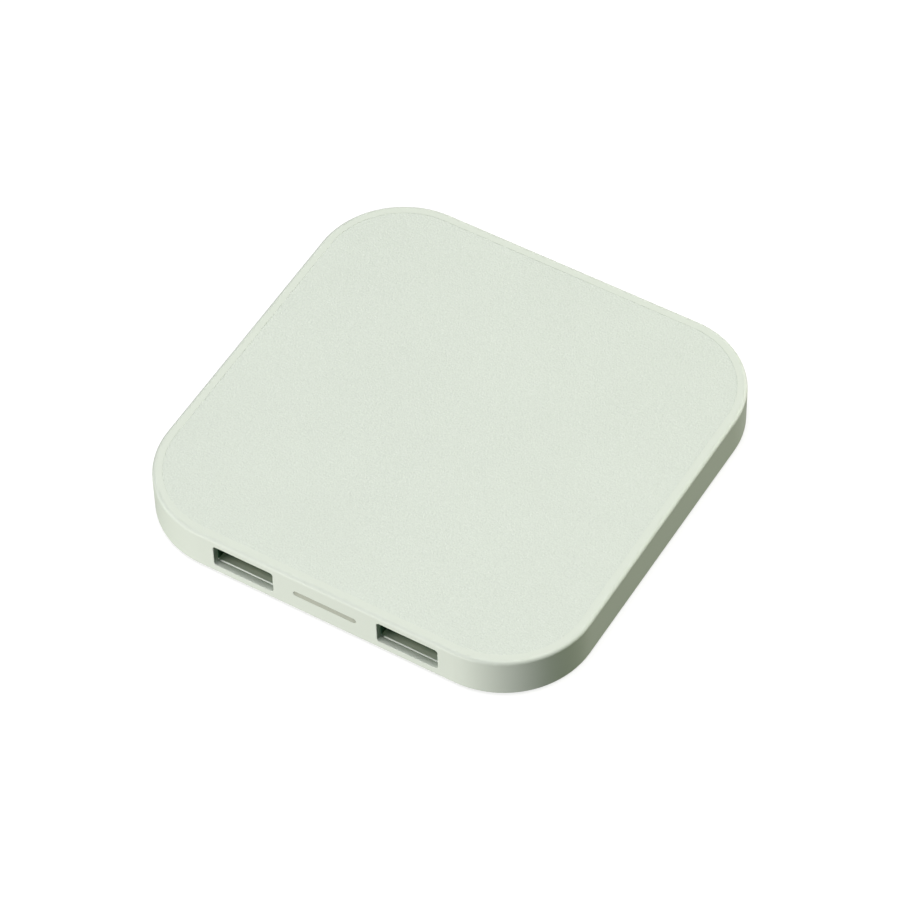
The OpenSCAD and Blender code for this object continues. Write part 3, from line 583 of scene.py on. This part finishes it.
def recessed(mesh, cutter):
    """The mesh with the cutter's shape taken out of it."""
    objects = [bpy.data.objects.new(m.name, m) for m in (mesh, cutter)]
    for o in objects:
        bpy.context.scene.collection.objects.link(o)
    boolean = objects[0].modifiers.new("recess", "BOOLEAN")
    boolean.operation = "DIFFERENCE"
    boolean.solver = "EXACT"
    boolean.object = objects[1]
    shape = objects[0].evaluated_get(bpy.context.evaluated_depsgraph_get())
    result = bpy.data.meshes.new_from_object(shape)
    for o in objects:
        bpy.data.objects.remove(o)
    return result


def screw_mesh(length, head_height, head_radius, shank_radius):
    """A pan-head screw with a cross recess and a cut thread. Its head's top is at z = 0, its tip above."""
    pitch, thread, steps, runs = 0.9 * MM, 0.2 * MM, 32, 8
    fillet = min(0.5 * MM, 0.8 * head_height)
    dome = [(0, 0), (0.45 * head_radius, 0.02 * MM)]
    dome += [(head_radius - fillet * (1 - math.sin(a)), fillet * (1 - math.cos(a)) + 0.04 * MM)
             for a in (math.radians(15 * i) for i in range(7))]
    dome += [(head_radius, head_height), (shank_radius - thread, head_height)]
    rings = [[Vector((x, y, z)) for x, y in ring(r, steps)] for r, z in dome]
    count = int((length - head_height) / pitch * runs)
    for i in range(1, count + 1):
        z = head_height + (length - head_height) * i / count
        ends = min(1.0, (i - 1) / 4) * min(1.0, (count - i) / 6)
        point = min(1.0, 0.55 + 0.45 * (count - i) / 6)
        loop = []
        for a in angles(steps):
            crest = 1 - abs(2 * ((z / pitch - a / (2 * math.pi)) % 1.0) - 1)
            radius = (shank_radius - thread) * point + thread * ends * crest ** 1.4
            loop.append(Vector((radius * math.cos(a), radius * math.sin(a), z)))
        rings.append(loop)
    bm = bmesh.new()
    skin(bm, rings)
    bmesh.ops.recalc_face_normals(bm, faces=bm.faces)
    body = bpy.data.meshes.new("screw_body")
    bm.to_mesh(body)
    bm.clear()
    arm, width, depth = 1.1 * MM, 0.2 * MM, 0.5 * MM
    cross = [(arm, width), (width, width), (width, arm)]
    outline = [(u * math.cos(q) - v * math.sin(q), u * math.sin(q) + v * math.cos(q))
               for q in (math.radians(90 * k) for k in range(4)) for u, v in cross]
    taper = [(1.05, -0.3 * MM), (0.75, depth)]
    skin(bm, [[Vector((u * s, v * s, z)) for u, v in outline] for s, z in taper])
    bmesh.ops.recalc_face_normals(bm, faces=bm.faces)
    cutter = bpy.data.meshes.new("screw_recess")
    bm.to_mesh(cutter)
    bm.free()
    return recessed(body, cutter)


def make_screws(node, name, head_height):
    """A threaded screw in the place of each of the node's solids."""
    bm = bmesh.new()
    for low, high in solids(node):
        mesh = screw_mesh(high.z - low.z, head_height, (high.x - low.x) / 2, 0.95 * MM)
        mesh.transform(Matrix.Translation(((low.x + high.x) / 2, (low.y + high.y) / 2, low.z)))
        bm.from_mesh(mesh)
    make_piece(name, bm, ["screw_steel"], [node], sharp=30)


# ---------- pieces: the coil ----------

COIL_TURNS = 10
LITZ_LAY = 11 * MM


def make_coil():
    """The flat winding: one twisted wire in a spiral from the inside out, both ends on the -Y side."""
    low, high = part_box("charging_coil")
    wire = high.z - low.z
    reach = [math.hypot(v.co.x, v.co.y) for v in frame["nodes"]["charging_coil"].data.vertices]
    first, last = min(reach) + wire / 2, max(reach) - wire / 2
    steps = int(math.pi * (first + last) * COIL_TURNS / (0.9 * MM))
    line = []
    for i in range(steps + 1):
        t = i / steps
        a = 2 * math.pi * COIL_TURNS * t - math.pi / 2
        r = first + (last - first) * t
        line.append(Vector((r * math.cos(a), r * math.sin(a), (low.z + high.z) / 2)))
    bm = bmesh.new()
    sweep(bm, line, strands(wire / 2, count=7), lay=LITZ_LAY)
    make_piece("coil_winding", bm, ["litz_wire"], ["charging_coil"], sharp=50)


def make_coil_leads():
    """Both ends of the winding, led under it to their pads on the board, where solder holds them."""
    low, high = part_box("coil_leads")
    coil_low, coil_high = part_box("charging_coil")
    board_top, ferrite_top = (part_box(n)[1].z / MM for n in ("circuit_board", "ferrite_disc"))
    coil_z = (coil_low.z + coil_high.z) / 2 / MM
    inner_y, under = high.y / MM, ferrite_top - 0.5
    inner = [(-0.4, inner_y, under), (-0.9, -14, under), (-1.2, -18, under), (-1.4, -22, under),
             (-1.6, -25, under - 0.1), (-1.9, -26.5, board_top + 1.6), (-2.1, -27.3, board_top + 0.9),
             (-2.2, -27.6, board_top + 0.45)]
    end_y = coil_low.y / MM + 0.5
    outer = [(0.3, end_y, coil_z), (1.0, end_y - 0.3, coil_z), (1.6, end_y - 1.2, coil_z - 0.35),
             (1.8, end_y - 2.4, under - 0.4), (2.0, end_y - 3.4, board_top + 1.6),
             (2.2, end_y - 4.2, board_top + 0.8), (2.2, end_y - 4.5, board_top + 0.45)]
    bm = bmesh.new()
    for points in (inner, outer):
        sweep(bm, through(points, steps=8), strands(0.40 * MM, count=7), lay=LITZ_LAY)
        x, y, _ = points[-1]
        blob = [(0, 0.9), (0.25, 0.86), (0.45, 0.70), (0.62, 0.42), (0.80, 0.16), (1.0, 0.03), (1.0, 0),
                (0, 0)]
        blob = [(r * 0.85 * MM, z * 0.8 * MM) for r, z in blob]
        lathe(bm, (x * MM, y * MM, board_top * MM), blob, steps=32, look=1)
    make_piece("coil_lead_wires", bm, ["litz_wire", "tin"], ["coil_leads"], sharp=50)


def drop_scale(t):
    """The sensor's width along its line: a round drop up to 0.45, then a taper down to the wires."""
    if t < 0.45:
        return max(0.05, math.sin(math.pi * min(1, 1.35 * t + 0.02)) ** 0.5)
    return 0.95 - 0.75 * (t - 0.45) / 0.55


def make_sensor():
    """The coil's thermistor: a drop of epoxy on two enamelled wires, which run to the board."""
    board_top, ferrite_top = (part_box(n)[1].z / MM for n in ("circuit_board", "ferrite_disc"))
    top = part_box("temperature_sensor")[1].z / MM
    bead_z = top - 0.7
    drop = [(0.2, -3.75, bead_z), (0.2, -4.4, bead_z), (0.2, -5.0, bead_z - 0.25),
            (0.2, -5.7, ferrite_top - 0.3)]
    bm = bmesh.new()
    sweep(bm, through(drop, steps=8), ring(0.66 * MM, 24), swell=drop_scale)
    lead = [(0.5, -5.4, ferrite_top - 0.2), (0.6, -9, ferrite_top - 0.6), (0.7, -14, ferrite_top - 0.7),
            (0.8, -20, ferrite_top - 0.7), (0.8, -24, ferrite_top - 0.9), (0.6, -26, board_top + 1.4),
            (0.5, -27, board_top + 0.6), (0.5, -27.4, board_top + 0.2)]
    for side in (-0.25, 0.25):
        points = [(x + side, y, z) for x, y, z in lead]
        sweep(bm, through(points), ring(0.12 * MM, 12), look=1)
        x, y, _ = points[-1]
        dome = [(0, 0.3), (0.1, 0.27), (0.18, 0.15), (0.24, 0.04), (0.24, 0), (0, 0)]
        dome = [(r * MM, z * MM) for r, z in dome]
        lathe(bm, (x * MM, y * MM, board_top * MM), dome, steps=16, look=2)
    make_piece("thermistor", bm, ["black_epoxy", "litz_wire", "tin"], ["temperature_sensor"])


# ---------- pieces: parts on the board ----------

def make_chips(node, name, body, top=None, cap_share=0.22):
    """Chip capacitors or resistors with tinned ends. Resistors have a film on top of their body."""
    bm = bmesh.new()
    for low, high in solids(node):
        size = high - low
        along = 0 if size.x > size.y else 1
        cap, inset = size[along] * cap_share, 0.03 * MM
        for end in (0, 1):
            cap_low, cap_high = low.copy(), high.copy()
            if end:
                cap_low[along] = high[along] - cap
            else:
                cap_high[along] = low[along] + cap
            block(bm, cap_low, cap_high, edge=0.06 * MM, look=1)
        body_low, body_high = low + Vector((inset,) * 3), high - Vector((inset,) * 3)
        body_low[along], body_high[along] = low[along] + cap, high[along] - cap
        if top:
            film = 0.05 * MM
            block(bm, (*body_low.xy, body_high.z - film), body_high, edge=0.012 * MM, look=2)
            body_high.z -= film
        block(bm, body_low, body_high, edge=0.02 * MM)
    make_piece(name, bm, [body, "tin", top or "tin"], [node], sharp=50)


def make_leadless(node, name, pads, pad_width, sides):
    """Flat packages with tinned pads round their lower edges, on all four sides or on two."""
    depth, height, proud, lift = 0.35 * MM, 0.2 * MM, 0.01 * MM, 0.02 * MM
    bm = bmesh.new()
    for low, high in solids(node):
        middle, half = (low + high) / 2, (high - low) / 2
        block(bm, low + Vector((proud, proud, lift)), high - Vector((proud,) * 3), edge=0.05 * MM)
        step = 2 * half.x * 0.8 / pads
        for i in range(pads):
            along = (i - (pads - 1) / 2) * step
            for turn in sides:
                c, s = round(math.cos(turn)), round(math.sin(turn))
                pad = ((half.x - depth, along - pad_width / 2), (half.x, along + pad_width / 2))
                spots = [Vector((c * u - s * v, s * u + c * v, 0)) for u, v in pad]
                corners = [middle + spot for spot in spots]
                a = Vector(map(min, *corners))
                b = Vector(map(max, *corners))
                a.z, b.z = low.z, low.z + height
                block(bm, a, b, edge=0.02 * MM, look=1)
        mark = [(0, proud), (0.28 * MM, proud), (0.3 * MM, 0), (0, 0)]
        spot = Vector((low.x + 0.34 * half.x, high.y - 0.34 * half.y, high.z - proud))
        lathe(bm, spot, mark, steps=24, look=2)
    make_piece(name, bm, ["chip_package", "tin", "alumina"], [node], sharp=50)


def make_switch():
    """The outlets' power switch: a moulded body with four gull-wing legs on each side."""
    (low, high), = solids("usb_power_switch")
    middle = (low + high) / 2
    bm = bmesh.new()
    half_x, half_y = high.x - middle.x, 1.9 * MM
    z0, z1, waist = low.z + 0.15 * MM, high.z, low.z + 0.8 * MM
    draft = 0.12 * MM
    levels = [(draft, z0), (0, waist), (0, waist + 0.05 * MM), (draft, z1 - 0.04 * MM),
              (draft + 0.04 * MM, z1)]
    outline = ((-1, -1), (1, -1), (1, 1), (-1, 1))
    skin(bm, [[Vector((middle.x + i * (half_x - d), middle.y + j * (half_y - d), z)) for i, j in outline]
              for d, z in levels])
    reach = (high.y - low.y) / 2
    leg = [(1.85 * MM, 0.72 * MM), (2.25 * MM, 0.72 * MM), (2.38 * MM, 0.66 * MM), (2.48 * MM, 0.5 * MM),
           (2.56 * MM, 0.2 * MM), (2.68 * MM, 0.11 * MM), (reach, 0.1 * MM)]
    for i in range(4):
        x = middle.x + (i - 1.5) * 1.27 * MM
        for side in (-1, 1):
            path = [(middle.y + side * y, low.z + z) for y, z in leg]
            strip(bm, path, 0.2 * MM, x - 0.2 * MM, x + 0.2 * MM, look=1)
    deep = 0.008 * MM
    dot = [(0, deep), (0.3 * MM, deep), (0.3 * MM, 0), (0, 0)]
    lathe(bm, (middle.x - 1.7 * MM, middle.y - 1.2 * MM, z1 - deep), dot, steps=24, look=2)
    make_piece("power_switch", bm, ["chip_package", "tin", "alumina"], ["usb_power_switch"])


def make_inductor():
    """A shielded inductor: a ferrite drum with its lid on a square core, and two soldered ends."""
    low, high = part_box("power_inductor")
    middle, half = (low + high) / 2, (high.x - low.x) / 2
    lid = high.z - 0.35 * MM
    corner = 0.6 * MM
    outline = []
    for i, j in ((1, 1), (-1, 1), (-1, -1), (1, -1)):
        cut = [(i * half, j * (half - corner)), (i * (half - corner), j * half)]
        outline += cut if i == j else cut[::-1]
    levels = [(0.97, low.z + 0.15 * MM), (1.0, low.z + 0.22 * MM), (1.0, lid - 0.08 * MM), (0.96, lid)]
    bm = bmesh.new()
    skin(bm, [[Vector((middle.x + u * s, middle.y + v * s, z)) for u, v in outline] for s, z in levels])
    drum = [(0, 0.35), (1.35, 0.35), (1.50, 0.31), (1.56, 0.22), (1.56, -0.05), (0, -0.05)]
    lathe(bm, (middle.x, middle.y, lid), [(r * MM, z * MM) for r, z in drum], steps=64)
    seal = [(0, 0.10), (1.60, 0.10), (1.70, 0.07), (1.74, 0), (1.74, -0.04), (0, -0.04)]
    lathe(bm, (middle.x, middle.y, lid), [(r * MM, z * MM) for r, z in seal], steps=64, look=2)
    for side in (-1, 1):
        a = (middle.x + side * half * 0.98, middle.y - 1.2 * MM, low.z)
        b = (middle.x + side * half * 0.45, middle.y + 1.2 * MM, low.z + 0.2 * MM)
        block(bm, Vector(map(min, a, b)), Vector(map(max, a, b)), edge=0.03 * MM, look=1)
    make_piece("shielded_inductor", bm, ["ferrite", "tin", "black_epoxy"], ["power_inductor"])


def make_led(node):
    """A side-firing status light: a white package, its yellow window towards the light bar, tinned ends."""
    low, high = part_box(node)
    size, lens = high - low, 0.06 * MM
    end = 0.32 * MM
    bm = bmesh.new()
    block(bm, (low.x + end, low.y + lens, low.z), (high.x - end, high.y, high.z), edge=0.05 * MM)
    cap_y, cap_top = (low.y + 3 * lens, high.y - lens), high.z - 0.3 * size.z
    for x0, x1 in ((low.x, low.x + end), (high.x - end, high.x)):
        block(bm, (x0, cap_y[0], low.z), (x1, cap_y[1], cap_top), edge=0.03 * MM, look=1)
    rim = 0.12 * MM
    block(bm, (low.x + end + rim, low.y, low.z + rim), (high.x - end - rim, low.y + lens, high.z - rim),
          edge=0.025 * MM, look=2)
    make_piece(f"{node}_package", bm, ["led_package", "tin", "phosphor"], [node], sharp=50)


def make_solder():
    """Solder fillets at the ends of the chip parts."""
    board_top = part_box("circuit_board")[1].z
    reach, side, foil = 0.35 * MM, 0.06 * MM, 0.018 * MM
    bm = bmesh.new()
    for node in ("chip_capacitors", "chip_resistors", "resonant_capacitors", "bulk_capacitors"):
        for low, high in solids(node):
            size = high - low
            along = 0 if size.x > size.y else 1
            across = 1 - along
            climb, under = 0.55 * size.z, -0.2 * size[along]
            for out, face in ((-1, low[along]), (1, high[along])):
                ends = (low[across] - side, high[across] + side)
                curve = [(under, 0.0), (reach, 0.0), (reach, foil)]
                curve += [(reach * (1 - t), foil + climb * t ** 2.2) for t in (0.3, 0.55, 0.8, 1.0)]
                curve += [(0.0, foil), (under, foil)]
                loops = []
                for end in ends:
                    loop = []
                    for d, z in curve:
                        point = Vector((0, 0, board_top + z))
                        point[along] = face + out * d
                        point[across] = end
                        loop.append(point)
                    loops.append(loop)
                skin(bm, loops)
    make_piece("solder_joints", bm, ["tin"])


# ---------- put it together ----------

make_stage()
LOOKS = make_looks()
for part in frame["record"]["subparts"]:
    cad = frame["nodes"][part["node"]]
    cad.data.materials.clear()
    cad.data.materials.append(LOOKS[part["material_slot"]])

for place in ("front_left", "front_right", "rear_left", "rear_right"):
    make_foot(f"foot_{place}")
make_foam()
make_screws("cover_screws", "cover_screws_threaded", head_height=0.85 * MM)
make_screws("board_screws", "board_screws_threaded", head_height=0.8 * MM)
make_coil()
make_coil_leads()
make_sensor()
make_chips("chip_capacitors", "small_capacitors", "ceramic")
make_chips("chip_resistors", "small_resistors", "alumina", top="resistor_black")
make_chips("resonant_capacitors", "coil_capacitors", "ceramic", cap_share=0.17)
make_chips("bulk_capacitors", "supply_capacitors", "ceramic", cap_share=0.17)
make_leadless("controller_chip", "controller_package", 8, 0.3 * MM, sides=angles(4))
make_leadless("bridge_transistors", "bridge_packages", 4, 0.35 * MM, sides=angles(4)[1::2])
make_switch()
make_inductor()
make_led("status_led_left")
make_led("status_led_right")
make_solder()
